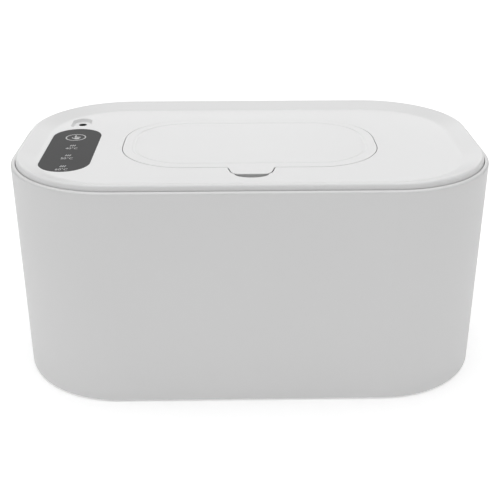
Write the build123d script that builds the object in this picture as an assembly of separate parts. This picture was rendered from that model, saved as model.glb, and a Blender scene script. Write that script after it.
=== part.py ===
from build123d import *
import os
from math import asin, atan2, cos, hypot, radians, sin, sqrt, tan

# Baby wipe warmer: a deep rounded tub with a lift-off heated lid and a flip-up hatch.
# Millimetres, +Z up, the front towards -Y. The origin is on the table under the centre.

# ---------------------------------------------------------------- driving dimensions

# body, seen from above as a rounded rectangle with straight walls
BODY_WIDTH = 245.0
BODY_DEPTH = 148.0
CORNER_RADIUS = 54.6
RIM_HEIGHT = 115.7
SHELL_WALL = 2.1
SHELL_RIM_EDGE = 1.2         # rounding outside the rim
SHELL_RIM_INNER_EDGE = 0.2
SHELL_BOTTOM_EDGE = 1.5
FIT = 0.2                   # sideways room between pieces that are slid together

# feet, base plate and its screws
STAND_OFF = 0.5             # table to the shell's lower edge
BASE_BOTTOM = 0.9
BASE_THICKNESS = 2.4
FOOT_DIAMETER = 16.0
FOOT_RECESS = 1.0
FOOT_END_INSET = 34.5       # from the body's end, as are the other end insets
FOOT_SIDE_INSET = 38.0
LOWER_LEDGE = 2.2           # the ledge in the shell that the base plate is drawn up against
LOWER_LEDGE_HEIGHT = 1.6
BASE_SCREW_END_INSET = 52.5
BASE_SCREW_SIDE_INSET = 34.0

# countersunk screws, used under the base and under the lid
SCREW_RADIUS = 1.5
SCREW_HEAD_RADIUS = 2.8
SCREW_HEAD_HEIGHT = 1.3
SCREW_BOSS_RADIUS = 3.6
SCREW_HOLE_CLEARANCE = 0.1
CROSS_LENGTH = 3.0
CROSS_WIDTH = 0.7
CROSS_DEPTH = 0.7
BASE_SCREW_LENGTH = 8.0
LID_SCREW_LENGTH = 10.0

# liner that holds the wipes, hung from its flange on a ledge near the rim
FLANGE_DROP = 10.0          # rim to the flange's top, which the closed lid rests on
FLANGE_THICKNESS = 2.0
LEDGE_WIDTH = 3.0
LEDGE_HEIGHT = 3.0
LINER_GAP = 6.9             # shell to liner, filled by the insulation
LINER_WALL = 2.0
LINER_FLOOR_TOP = 12.0
LINER_FLOOR_EDGE = 3.0
INSULATION_THICKNESS = 3.8
INSULATION_CLEARANCE = 0.3

# sprung plate that lifts the stack of wipes against the heater
PLATE_CLEARANCE = 1.0
PLATE_THICKNESS = 2.0
PLATE_SKIRT_WALL = 1.6
PLATE_SKIRT_DEPTH = 8.0
WIPE_GAP = 6.6              # heater face to the raised plate, for the last few wipes
PLATE_SLOT_LENGTH = 22.0
PLATE_SLOT_WIDTH = 4.0
PLATE_SLOT_STEP_X = 32.0
PLATE_SLOT_STEP_Y = 16.0
STOP_WIDTH = 12.0
STOP_HEIGHT = 2.0
STOP_OVERHANG = 0.9
STOP_END_INSET = 77.5
SPRING_END_INSET = 44.5
SPRING_SIDE_INSET = 34.0
SPRING_RADIUS = 9.0
SPRING_WIRE_RADIUS = 0.6
SPRING_TURNS = 9
SPRING_SEAT_HEIGHT = 3.0
SPRING_SEAT_CLEARANCE = 0.5
SPRING_SEAT_WALL = 1.5

# lid: an outer cover whose border slopes up from a flat to a rounded crest at the edge
LID_INSET = 2.4             # shell's outside to the lid's edge
LID_LEAN = 8.0              # degrees that the lid's side leans in above the rim
LID_WALL = 2.2
FLAT_THICKNESS = 2.4
CREST_RISE = 3.0            # flat to the top of the border
CREST_ROUND = 1.3
SLOPE_FOOT_ROUND = 6.0      # blend from the border's slope into the flat
BORDER_WIDTH = 11.6

# lid tray: the lid's lower half, a pan that plugs into the liner
TRAY_WALL = 2.0
TRAY_CLEARANCE = 1.2        # liner to the tray's wall
TRAY_FLANGE_THICKNESS = 2.0
TRAY_FLOOR_THICKNESS = 2.4
TRAY_DEPTH = 15.0           # flat's top to the tray floor's top
GASKET_WIDTH = 2.2
GASKET_HEIGHT = 1.5
SIDE_SCREW_OFFSET = 12.0    # hinge arm to the screws at the lid's front and back
SIDE_SCREW_INSET = 20.5
CORNER_SCREW_END_INSET = 38.5
CORNER_SCREW_SIDE_INSET = 24.5
END_SCREW_INSET = 21.5
END_SCREW_Y = 14.0

# heater under the tray
HEATER_END_INSET = 34.5
HEATER_SIDE_INSET = 27.0
HEATER_CORNER = 30.0
HEATER_THICKNESS = 1.2
FILM_THICKNESS = 0.4
FILM_MARGIN = 2.0
HEATER_RIB = 1.6
TAIL_WIDTH = 12.0
TAIL_THICKNESS = 0.3
TAIL_RISE = 4.5             # tray floor to the top of the film's tail
TAIL_REACH = 2.2
TAIL_BOARD_GAP = 1.2        # board's inner side to the tail, which rises beside it
TAIL_CLEARANCE = 0.6

# hatch, its finger tab and the gap round them
HATCH_END_INSET = 55.2       # leaves room for the controls beside the hatch
HATCH_SIDE_INSET = 34.5      # leaves room for the tab and notch in front of it
HATCH_CORNER = 33.0
HATCH_PLATE = 2.0
HATCH_RISE = 0.15            # the hatch's top stands this far above the lid's flat
HATCH_EDGE = 0.3
HATCH_LAND = 0.1            # upright part of the edge, above its undercut
HATCH_RIB_INSET = 3.0
HATCH_RIB_WALL = 1.8
HATCH_RIB_DEPTH = 2.4
HATCH_GAP = 0.3
SWING_CLEARANCE = 0.2       # between the undercut and the lip, which it swings past
LIP_THICKNESS = 0.9
GROOVE_INSET = 5.9
GROOVE_RADIUS = 1.8
GROOVE_DEPTH = 0.3
TAB_GAP = 0.5
TAB_ROOT_WIDTH = 23.2
TAB_TAPER = 2.2              # on each side, from root to tip
TAB_LENGTH = 9.55
TAB_TIP_RADIUS = 4.4
TAB_ROOT_RADIUS = 1.5
TAB_OVERLAP = 2.0
TAB_RECESS_DEPTH = 3.0
NOTCH_END_INSET = 0.9        # tab's tip corners to the notch's ends
NOTCH_REACH = 5.0
NOTCH_DEPTH = 9.0
NOTCH_WALL = 1.6
NOTCH_FLOOR_RADIUS = 2.5
INNER_COVER_INSET = 9.2
INNER_COVER_THICKNESS = 1.4
INNER_COVER_RIB = 1.6

# hinge: two curved arms under the hatch, which reach under the lid's flat to their pins
HINGE_BEHIND = 7.0          # hatch's back edge to the hinge axis
HINGE_END_INSET = 37.3      # hatch's end to the middle of an arm
BARREL_RADIUS = 1.6
BARREL_CLEARANCE = 0.25
PIN_RADIUS = 0.75
PIN_CLEARANCE = 0.06
ARM_WIDTH = 6.0
ARM_THICKNESS = 1.8
ARM_CLEARANCE = 0.4         # between the arm's curve and the lip that it swings round
ARM_LEG_OFFSET = 0.2
HINGE_POCKET_WALL = 1.6
HINGE_POCKET_CLEARANCE = 0.5

# outlet frame: the well under the hatch, and the window that the wipes come up through
WELL_CLEARANCE = 1.8
WELL_WALL = 1.6
WELL_DEPTH = 13.0
WINDOW_END_INSET = 23.3      # hatch's end to the window
WINDOW_SIDE_INSET = 20.5
WINDOW_END_FLAT = 2.0        # half of the straight stretch between its round corners
NECK_WALL = 1.6
COLLAR_LEDGE = 3.5
COLLAR_WALL = 2.5
COLLAR_HEIGHT = 5.0
OUTLET_THICKNESS = 2.0
OUTLET_END_INSET = 8.0       # window's end to the slot in the soft outlet
OUTLET_SIDE_INSET = 9.0
SEAL_WIDTH = 3.5

# control panel, let into the lid's flat
PANEL_END_INSET = 28.3
PANEL_FRONT_INSET = 29.85
PANEL_BACK_INSET = 48.85
PANEL_WIDTH = 26.0
PANEL_THICKNESS = 1.6
PANEL_GAP = 0.1

# circuit board on the tray and what is soldered to it
BOARD_END_INSET = 19.5
BOARD_WIDTH = 25.5
BOARD_FRONT_INSET = 32.5
BOARD_BACK_INSET = 29.0
BOARD_CORNER = 10.0
BOARD_THICKNESS = 1.6
STANDOFF_HEIGHT = 1.4
STANDOFF_RADIUS = 2.6
BOARD_SCREW_SIDE_INSET = 4.5
BOARD_SCREW_FRONT_INSET = 14.5
BOARD_SCREW_BACK_INSET = 13.0
BOARD_SCREW_RADIUS = 1.1
BOARD_SCREW_HEAD_RADIUS = 2.1
BOARD_SCREW_HEAD_HEIGHT = 1.3
BOARD_SCREW_DEPTH = 3.0
CONNECTOR_LENGTH = 14.0
CONNECTOR_WIDTH = 5.0
CONNECTOR_HEIGHT = 2.6
CHIP_SIZE = 7.0
CHIP_HEIGHT = 1.4
CAPACITOR_RADIUS = 3.15
CAPACITOR_HEIGHT = 7.5
PARTS_INSET = 6.5            # board's inner side to the row of parts along it
INDICATOR_OFFSET = -0.1      # panel's middle to the column of indicators
FIRST_ROW_INSET = 6.15       # panel's front end to the nearest indicator
ROWS = 3
LED_LENGTH = 2.0
LED_WIDTH = 1.2
LED_HEIGHT = 0.8
GUIDE_RADIUS = 1.4
GUIDE_LED_GAP = 0.2
GUIDE_HOLE_CLEARANCE = 0.1
GUIDE_BAR_WIDTH = 1.6
GUIDE_BAR_HEIGHT = 1.2
KEY_OFFSET = -0.4            # panel's middle to the key
KEY_INSET = 15.15            # panel's back end to the key
TOUCH_SPRING_RADIUS = 3.2
TOUCH_SPRING_WIRE = 0.3
TOUCH_SPRING_TURNS = 8

# power inlet behind the panel
POCKET_END_INSET = 27.2
POCKET_SIDE_INSET = 37.8
POCKET_WIDTH = 11.0
POCKET_LENGTH = 17.6
POCKET_CORNER = 5.3
POCKET_DEPTH = 1.9
POCKET_SLOPE = 0.9           # the pocket's sides lean in by this much at its floor
POCKET_FLOOR = 1.6
JACK_END_INSET = 27.2
JACK_SIDE_INSET = 35.0
JACK_SIZE = 9.0
JACK_COLLAR_RADIUS = 2.2
JACK_COLLAR_CLEARANCE = 0.1
JACK_BORE_RADIUS = 1.8
JACK_PIN_RADIUS = 0.6
JACK_PIN_DROP = 0.6
JACK_FLOOR = 1.0

# sensors lying on the heater film
THERMISTOR_END_INSET = 7.0   # heater's end to the thermistor
THERMISTOR_Y = 18.0
THERMISTOR_RADIUS = 1.2
THERMISTOR_LENGTH = 5.0
FUSE_END_INSET = 9.0
FUSE_Y = 0.0
FUSE_RADIUS = 1.9
FUSE_LENGTH = 11.0
SENSOR_CLEARANCE = 1.2

# ---------------------------------------------------------------- worked out from them

FLAT_TOP = RIM_HEIGHT
FLAT_UNDERSIDE = FLAT_TOP - FLAT_THICKNESS
FLANGE_TOP = RIM_HEIGHT - FLANGE_DROP
FLANGE_BOTTOM = FLANGE_TOP - FLANGE_THICKNESS
TRAY_FLOOR_TOP = FLAT_TOP - TRAY_DEPTH
TRAY_FLOOR_BOTTOM = TRAY_FLOOR_TOP - TRAY_FLOOR_THICKNESS
HEATER_TOP = TRAY_FLOOR_BOTTOM - FILM_THICKNESS
HEATER_FACE = HEATER_TOP - HEATER_THICKNESS
PLATE_TOP = HEATER_FACE - WIPE_GAP
PLATE_UNDERSIDE = PLATE_TOP - PLATE_THICKNESS
BASE_TOP = BASE_BOTTOM + BASE_THICKNESS
LINER_FLOOR_BOTTOM = LINER_FLOOR_TOP - LINER_WALL
TRAY_FLANGE_BOTTOM = FLANGE_TOP + GASKET_HEIGHT
TRAY_FLANGE_TOP = TRAY_FLANGE_BOTTOM + TRAY_FLANGE_THICKNESS
WELL_FLOOR_TOP = FLAT_TOP - WELL_DEPTH
COLLAR_TOP = WELL_FLOOR_TOP + COLLAR_HEIGHT
BOARD_BOTTOM = TRAY_FLOOR_TOP + STANDOFF_HEIGHT
BOARD_TOP = BOARD_BOTTOM + BOARD_THICKNESS
POCKET_FLOOR_TOP = FLAT_TOP - POCKET_DEPTH
POCKET_UNDERSIDE = POCKET_FLOOR_TOP - POCKET_FLOOR
HATCH_WIDTH = BODY_WIDTH - 2 * HATCH_END_INSET
HATCH_DEPTH = BODY_DEPTH - 2 * HATCH_SIDE_INSET
WINDOW_WIDTH = HATCH_WIDTH - 2 * WINDOW_END_INSET
WINDOW_DEPTH = HATCH_DEPTH - 2 * WINDOW_SIDE_INSET
WINDOW_CORNER = WINDOW_DEPTH / 2 - WINDOW_END_FLAT
OUTLET_SLOT_LENGTH = WINDOW_WIDTH - 2 * OUTLET_END_INSET
OUTLET_SLOT_WIDTH = WINDOW_DEPTH - 2 * OUTLET_SIDE_INSET
HINGE_X = HATCH_WIDTH / 2 - HINGE_END_INSET
HINGE_Y = HATCH_DEPTH / 2 + HINGE_BEHIND
HINGE_Z = FLAT_UNDERSIDE - BARREL_CLEARANCE - BARREL_RADIUS
LIP_RADIUS = hypot(HINGE_BEHIND - HATCH_GAP, FLAT_TOP - HINGE_Z)   # hinge axis to the lip's edge
ARM_INNER_RADIUS = LIP_RADIUS + ARM_CLEARANCE
ARM_OUTER_RADIUS = ARM_INNER_RADIUS + ARM_THICKNESS
PIN_LENGTH = ARM_WIDTH + 2 * (HINGE_POCKET_CLEARANCE + HINGE_POCKET_WALL)
HATCH_TOP = FLAT_TOP + HATCH_RISE
HATCH_UNDERSIDE = HATCH_TOP - HATCH_PLATE
HATCH_UNDERCUT = sqrt((LIP_RADIUS + SWING_CLEARANCE) ** 2 - (HATCH_UNDERSIDE - HINGE_Z) ** 2) - HINGE_BEHIND
INNER_COVER_TOP = HATCH_UNDERSIDE - INNER_COVER_RIB
INNER_COVER_BOTTOM = INNER_COVER_TOP - INNER_COVER_THICKNESS
TAB_TIP_WIDTH = TAB_ROOT_WIDTH - 2 * TAB_TAPER
NOTCH_WIDTH = TAB_TIP_WIDTH - 2 * NOTCH_END_INSET
NOTCH_REAR = -(HATCH_DEPTH / 2 + WELL_CLEARANCE + WELL_WALL + FIT)
TAB_TIP_Y = -(HATCH_DEPTH / 2 + TAB_LENGTH)

HALF_WIDTH = BODY_WIDTH / 2
HALF_DEPTH = BODY_DEPTH / 2
LINER_INSET = SHELL_WALL + LINER_GAP
LINER_BORE_INSET = LINER_INSET + LINER_WALL
PLATE_INSET = LINER_BORE_INSET + PLATE_CLEARANCE
TRAY_INSET = LINER_BORE_INSET + TRAY_CLEARANCE
TRAY_BORE_INSET = TRAY_INSET + TRAY_WALL
LID_BORE_INSET = LID_INSET + LID_WALL
FLAT_INSET = LID_INSET + BORDER_WIDTH

FOOT_X = HALF_WIDTH - FOOT_END_INSET
FOOT_Y = HALF_DEPTH - FOOT_SIDE_INSET
BASE_SCREW_X = HALF_WIDTH - BASE_SCREW_END_INSET
BASE_SCREW_Y = HALF_DEPTH - BASE_SCREW_SIDE_INSET
STOP_X = HALF_WIDTH - STOP_END_INSET
SPRING_X = HALF_WIDTH - SPRING_END_INSET
SPRING_Y = HALF_DEPTH - SPRING_SIDE_INSET
CORNER_SCREW_X = CORNER_SCREW_END_INSET - HALF_WIDTH
LID_SCREWS = [place for side in (-1, 1) for place in (
    (HINGE_X + SIDE_SCREW_OFFSET, side * (HALF_DEPTH - SIDE_SCREW_INSET)),
    (CORNER_SCREW_X, side * (HALF_DEPTH - CORNER_SCREW_SIDE_INSET)),
    (HALF_WIDTH - END_SCREW_INSET, side * END_SCREW_Y))]
HEATER_WIDTH = BODY_WIDTH - 2 * HEATER_END_INSET
HEATER_DEPTH = BODY_DEPTH - 2 * HEATER_SIDE_INSET
THERMISTOR_X = THERMISTOR_END_INSET - HEATER_WIDTH / 2
FUSE_X = HEATER_WIDTH / 2 - FUSE_END_INSET

PANEL_X = PANEL_END_INSET - HALF_WIDTH
PANEL_FRONT = PANEL_FRONT_INSET - HALF_DEPTH
PANEL_BACK = HALF_DEPTH - PANEL_BACK_INSET
KEY_X = PANEL_X + KEY_OFFSET
KEY_Y = PANEL_BACK - KEY_INSET
INDICATOR_X = PANEL_X + INDICATOR_OFFSET
FIRST_ROW_Y = PANEL_FRONT + FIRST_ROW_INSET
ROW_STEP = (KEY_Y - FIRST_ROW_Y) / ROWS
INDICATOR_ROWS = [FIRST_ROW_Y + row * ROW_STEP for row in range(ROWS)]
POCKET_X = POCKET_END_INSET - HALF_WIDTH
POCKET_Y = HALF_DEPTH - POCKET_SIDE_INSET
JACK_X = JACK_END_INSET - HALF_WIDTH
JACK_Y = HALF_DEPTH - JACK_SIDE_INSET

BOARD_LEFT = BOARD_END_INSET - HALF_WIDTH
BOARD_RIGHT = BOARD_LEFT + BOARD_WIDTH
BOARD_FRONT = BOARD_FRONT_INSET - HALF_DEPTH
BOARD_BACK = HALF_DEPTH - BOARD_BACK_INSET
FRONT_BOARD_SCREW_Y = BOARD_FRONT + BOARD_SCREW_FRONT_INSET
BACK_BOARD_SCREW_Y = BOARD_BACK - BOARD_SCREW_BACK_INSET
BOARD_SCREWS = [(BOARD_LEFT + BOARD_SCREW_SIDE_INSET, FRONT_BOARD_SCREW_Y),
                (BOARD_RIGHT - BOARD_SCREW_SIDE_INSET, FRONT_BOARD_SCREW_Y),
                (BOARD_RIGHT - BOARD_SCREW_SIDE_INSET, BACK_BOARD_SCREW_Y)]
PARTS_X = BOARD_RIGHT - PARTS_INSET
TAIL_X = BOARD_RIGHT + TAIL_BOARD_GAP
TAIL_END = TAIL_X + TAIL_THICKNESS / 2 - TAIL_REACH
CHIP_Y = (FRONT_BOARD_SCREW_Y + BOARD_SCREW_HEAD_RADIUS - CONNECTOR_LENGTH / 2) / 2
CAPACITOR_Y = (BACK_BOARD_SCREW_Y - BOARD_SCREW_HEAD_RADIUS + CONNECTOR_LENGTH / 2) / 2


# ---------------------------------------------------------------- shared shapes

def body_outline(inset):
    """The body's outline in plan, moved inwards by inset."""
    return RectangleRounded(BODY_WIDTH - 2 * inset, BODY_DEPTH - 2 * inset, CORNER_RADIUS - inset)


def hatch_outline(inset):
    """The hatch's outline in plan, without its tab, moved inwards by inset."""
    return RectangleRounded(HATCH_WIDTH - 2 * inset, HATCH_DEPTH - 2 * inset, HATCH_CORNER - inset)


def heater_outline(inset):
    """The heating plate's outline in plan, moved inwards by inset."""
    return RectangleRounded(HEATER_WIDTH - 2 * inset, HEATER_DEPTH - 2 * inset, HEATER_CORNER - inset)


def window_outline(margin):
    """The window that the wipes pass, in plan, made larger by margin all round."""
    return RectangleRounded(WINDOW_WIDTH + 2 * margin, WINDOW_DEPTH + 2 * margin, WINDOW_CORNER + margin)


def tab_outline(margin):
    """The hatch's finger tab in plan, made larger by margin, rooted inside the hatch."""
    root_y = -HATCH_DEPTH / 2
    overlap_y = root_y + TAB_OVERLAP
    root_x = TAB_ROOT_WIDTH / 2 + margin
    tip_x = TAB_TIP_WIDTH / 2 + margin
    tip_y = TAB_TIP_Y - margin
    corners = [(-root_x, overlap_y), (-root_x, root_y), (-tip_x, tip_y),
               (tip_x, tip_y), (root_x, root_y), (root_x, overlap_y)]
    tongue = Polygon(*corners, align=None)
    tip_corners = tongue.vertices().sort_by(Axis.Y)[:2]
    return fillet(tip_corners, TAB_TIP_RADIUS + margin)


def slab(sketch, bottom, top):
    """A plan sketch made solid between two heights."""
    return extrude(Pos(0, 0, bottom) * sketch, top - bottom)


def post(x, y, radius, bottom, top):
    """An upright cylinder."""
    return Pos(x, y, bottom) * Cylinder(radius, top - bottom, align=(Align.CENTER, Align.CENTER, Align.MIN))


def block(x, y, width, depth, bottom, top):
    """An upright box centred on x and y."""
    return Pos(x, y, bottom) * Box(width, depth, top - bottom, align=(Align.CENTER, Align.CENTER, Align.MIN))


def mirrored_places(x, y):
    """Four places, one in each quarter of the plan."""
    return [(x, y), (x, -y), (-x, y), (-x, -y)]


def coil(x, y, radius, wire_radius, turns, bottom, top):
    """A compression spring of round wire standing between two heights."""
    low = bottom + wire_radius
    height = top - bottom - 2 * wire_radius
    path = Helix(pitch=height / turns, height=height, radius=radius)
    wire_end = Plane(origin=path @ 0, z_dir=path % 0)
    spring = sweep(wire_end * Circle(wire_radius), path=path, is_frenet=True)
    return Pos(x, y, low) * spring


def countersunk_screw(x, y, head_face, length):
    """A screw driven upwards, with its flat head at head_face and a cross recess in it."""
    head = Pos(x, y, head_face) * Cone(SCREW_HEAD_RADIUS, SCREW_RADIUS, SCREW_HEAD_HEIGHT,
                                       align=(Align.CENTER, Align.CENTER, Align.MIN))
    shank = post(x, y, SCREW_RADIUS, head_face + SCREW_HEAD_HEIGHT, head_face + length)
    recess = (block(x, y, CROSS_LENGTH, CROSS_WIDTH, head_face, head_face + CROSS_DEPTH)
              + block(x, y, CROSS_WIDTH, CROSS_LENGTH, head_face, head_face + CROSS_DEPTH))
    return head + shank - recess


def countersunk_hole(x, y, bottom, top):
    """The matching hole, open at the bottom face."""
    head_seat = Pos(x, y, bottom) * Cone(SCREW_HEAD_RADIUS + SCREW_HOLE_CLEARANCE,
                                         SCREW_RADIUS + SCREW_HOLE_CLEARANCE,
                                         SCREW_HEAD_HEIGHT + SCREW_HOLE_CLEARANCE,
                                         align=(Align.CENTER, Align.CENTER, Align.MIN))
    return head_seat + post(x, y, SCREW_RADIUS + SCREW_HOLE_CLEARANCE, bottom, top)


# ---------------------------------------------------------------- tub

def make_outer_shell():
    wall = slab(body_outline(0) - body_outline(SHELL_WALL), STAND_OFF, RIM_HEIGHT)
    wall = fillet(wall.faces().sort_by(Axis.Z)[-1].outer_wire().edges(), SHELL_RIM_EDGE)
    wall = fillet(wall.faces().sort_by(Axis.Z)[-1].inner_wires()[0].edges(), SHELL_RIM_INNER_EDGE)
    bottom_edges = wall.faces().sort_by(Axis.Z)[0].outer_wire().edges()
    wall = fillet(bottom_edges, SHELL_BOTTOM_EDGE)
    upper_ledge = slab(body_outline(SHELL_WALL) - body_outline(SHELL_WALL + LEDGE_WIDTH),
                       FLANGE_BOTTOM - LEDGE_HEIGHT, FLANGE_BOTTOM)
    lower_ledge = slab(body_outline(SHELL_WALL) - body_outline(SHELL_WALL + LOWER_LEDGE),
                       BASE_TOP, BASE_TOP + LOWER_LEDGE_HEIGHT)
    return wall + upper_ledge + lower_ledge


def make_inner_tub():
    pan = slab(body_outline(LINER_INSET), LINER_FLOOR_BOTTOM, FLANGE_TOP)
    pan = fillet(pan.faces().sort_by(Axis.Z)[0].edges(), LINER_FLOOR_EDGE)
    pan -= slab(body_outline(LINER_BORE_INSET), LINER_FLOOR_TOP, FLANGE_TOP)
    flange = slab(body_outline(SHELL_WALL + FIT) - body_outline(LINER_BORE_INSET), FLANGE_BOTTOM, FLANGE_TOP)
    tub = pan + flange
    for x, y in mirrored_places(BASE_SCREW_X, BASE_SCREW_Y):
        tub += post(x, y, SCREW_BOSS_RADIUS, BASE_TOP, LINER_FLOOR_BOTTOM)
        tub -= post(x, y, SCREW_RADIUS, BASE_TOP, BASE_BOTTOM + BASE_SCREW_LENGTH)
    for x, y in mirrored_places(SPRING_X, SPRING_Y):
        tub += spring_seat(x, y, LINER_FLOOR_TOP, LINER_FLOOR_TOP + SPRING_SEAT_HEIGHT)
    stop_depth = PLATE_CLEARANCE + STOP_OVERHANG
    stop_y = HALF_DEPTH - LINER_BORE_INSET - stop_depth / 2
    for x, y in mirrored_places(STOP_X, stop_y):
        tub += block(x, y, STOP_WIDTH, stop_depth, PLATE_TOP, PLATE_TOP + STOP_HEIGHT)
    return tub


def spring_seat(x, y, bottom, top):
    """A ring that stands inside the end of a lift spring."""
    outer = SPRING_RADIUS - SPRING_WIRE_RADIUS - SPRING_SEAT_CLEARANCE
    return post(x, y, outer, bottom, top) - post(x, y, outer - SPRING_SEAT_WALL, bottom, top)


def make_insulation_wrap():
    inner = LINER_INSET - INSULATION_CLEARANCE
    return slab(body_outline(inner - INSULATION_THICKNESS) - body_outline(inner),
                BASE_TOP + LOWER_LEDGE_HEIGHT, FLANGE_BOTTOM - LEDGE_HEIGHT)


def make_base_plate():
    plate = slab(body_outline(SHELL_WALL + FIT), BASE_BOTTOM, BASE_TOP)
    for x, y in mirrored_places(BASE_SCREW_X, BASE_SCREW_Y):
        plate -= countersunk_hole(x, y, BASE_BOTTOM, BASE_TOP)
    for x, y in mirrored_places(FOOT_X, FOOT_Y):
        plate -= post(x, y, FOOT_DIAMETER / 2, BASE_BOTTOM, BASE_BOTTOM + FOOT_RECESS)
    return plate


def make_base_screws():
    return [countersunk_screw(x, y, BASE_BOTTOM, BASE_SCREW_LENGTH)
            for x, y in mirrored_places(BASE_SCREW_X, BASE_SCREW_Y)]


def make_feet():
    return [post(x, y, FOOT_DIAMETER / 2, 0, BASE_BOTTOM + FOOT_RECESS)
            for x, y in mirrored_places(FOOT_X, FOOT_Y)]


# ---------------------------------------------------------------- lift

def make_lift_plate():
    plate = slab(body_outline(PLATE_INSET), PLATE_UNDERSIDE, PLATE_TOP)
    plate += slab(body_outline(PLATE_INSET) - body_outline(PLATE_INSET + PLATE_SKIRT_WALL),
                  PLATE_UNDERSIDE - PLATE_SKIRT_DEPTH, PLATE_UNDERSIDE)
    slots = [Pos(place.position.X, place.position.Y)
             * SlotOverall(PLATE_SLOT_LENGTH, PLATE_SLOT_WIDTH)
             for place in GridLocations(PLATE_SLOT_STEP_X, PLATE_SLOT_STEP_Y, 3, 5)]
    for slot in slots:
        plate -= slab(slot, PLATE_UNDERSIDE, PLATE_TOP)
    for x, y in mirrored_places(SPRING_X, SPRING_Y):
        plate += spring_seat(x, y, PLATE_UNDERSIDE - SPRING_SEAT_HEIGHT, PLATE_UNDERSIDE)
    return plate


def make_lift_springs():
    return [coil(x, y, SPRING_RADIUS, SPRING_WIRE_RADIUS, SPRING_TURNS, LINER_FLOOR_TOP, PLATE_UNDERSIDE)
            for x, y in mirrored_places(SPRING_X, SPRING_Y)]


# ---------------------------------------------------------------- lid

def lid_border():
    """The lid's skirt, leaning side, crest and slope: one section swept round the lid's outline."""
    edge = body_outline(LID_INSET).face().outer_wire()
    start, heading = edge @ 0, edge % 0
    section_plane = Plane(origin=start, x_dir=Vector(0, 0, 1).cross(heading), z_dir=heading)
    lean = radians(LID_LEAN)
    crest_height = FLAT_TOP + CREST_RISE - CREST_ROUND
    crest_middle = Vector((crest_height - RIM_HEIGHT) * tan(lean) + CREST_ROUND / cos(lean), crest_height)
    foot_middle = Vector(BORDER_WIDTH, FLAT_TOP + SLOPE_FOOT_ROUND)
    between = foot_middle - crest_middle
    slope_angle = asin((CREST_ROUND + SLOPE_FOOT_ROUND) / between.length) - atan2(between.Y, between.X)
    across = Vector(sin(slope_angle), cos(slope_angle))
    side = Line((0, FLANGE_TOP), (0, RIM_HEIGHT))
    leaning = Line(side @ 1, crest_middle + Vector(-cos(lean), sin(lean)) * CREST_ROUND)
    crest = RadiusArc(leaning @ 1, crest_middle + across * CREST_ROUND, CREST_ROUND)
    slope = Line(crest @ 1, foot_middle - across * SLOPE_FOOT_ROUND)
    foot = RadiusArc(slope @ 1, (BORDER_WIDTH, FLAT_TOP), -SLOPE_FOOT_ROUND)
    under_crest = (LID_WALL, FLAT_TOP + CREST_RISE - FLAT_THICKNESS)
    inside = Polyline(foot @ 1, (BORDER_WIDTH, FLAT_UNDERSIDE), under_crest, (LID_WALL, FLANGE_TOP), side @ 0)
    section = make_face(side + leaning + crest + slope + foot + inside)
    return sweep(section_plane * section, path=edge)


def lid_opening():
    """The hole in the lid's flat for the hatch and its tab."""
    return hatch_outline(-HATCH_GAP) + tab_outline(TAB_GAP)


def ahead_of_well(outline, margin):
    """What lies in front of the outlet's well, a wall clear of it less the margin."""
    rear = NOTCH_REAR - NOTCH_WALL + margin
    return outline & Pos(0, rear - HALF_DEPTH) * Rectangle(BODY_WIDTH, BODY_DEPTH)


def notch_outline(margin):
    """The finger notch in plan, before it is cut off at the well: an ellipse round the tab's tip."""
    return Pos(0, TAB_TIP_Y) * Ellipse(NOTCH_WIDTH / 2 + margin, NOTCH_REACH + margin)


def tab_recess_outline(margin):
    """The shallow seat that the tab lies in, in plan."""
    return ahead_of_well(tab_outline(TAB_GAP + margin), margin)


def panel_outline(margin):
    length = PANEL_BACK - PANEL_FRONT + 2 * margin
    middle_y = (PANEL_BACK + PANEL_FRONT) / 2
    return Pos(PANEL_X, middle_y) * SlotOverall(length, PANEL_WIDTH + 2 * margin, rotation=90)


def pocket_outline(margin):
    return Pos(POCKET_X, POCKET_Y) * RectangleRounded(POCKET_WIDTH + 2 * margin, POCKET_LENGTH + 2 * margin,
                                                      POCKET_CORNER + margin)


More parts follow.
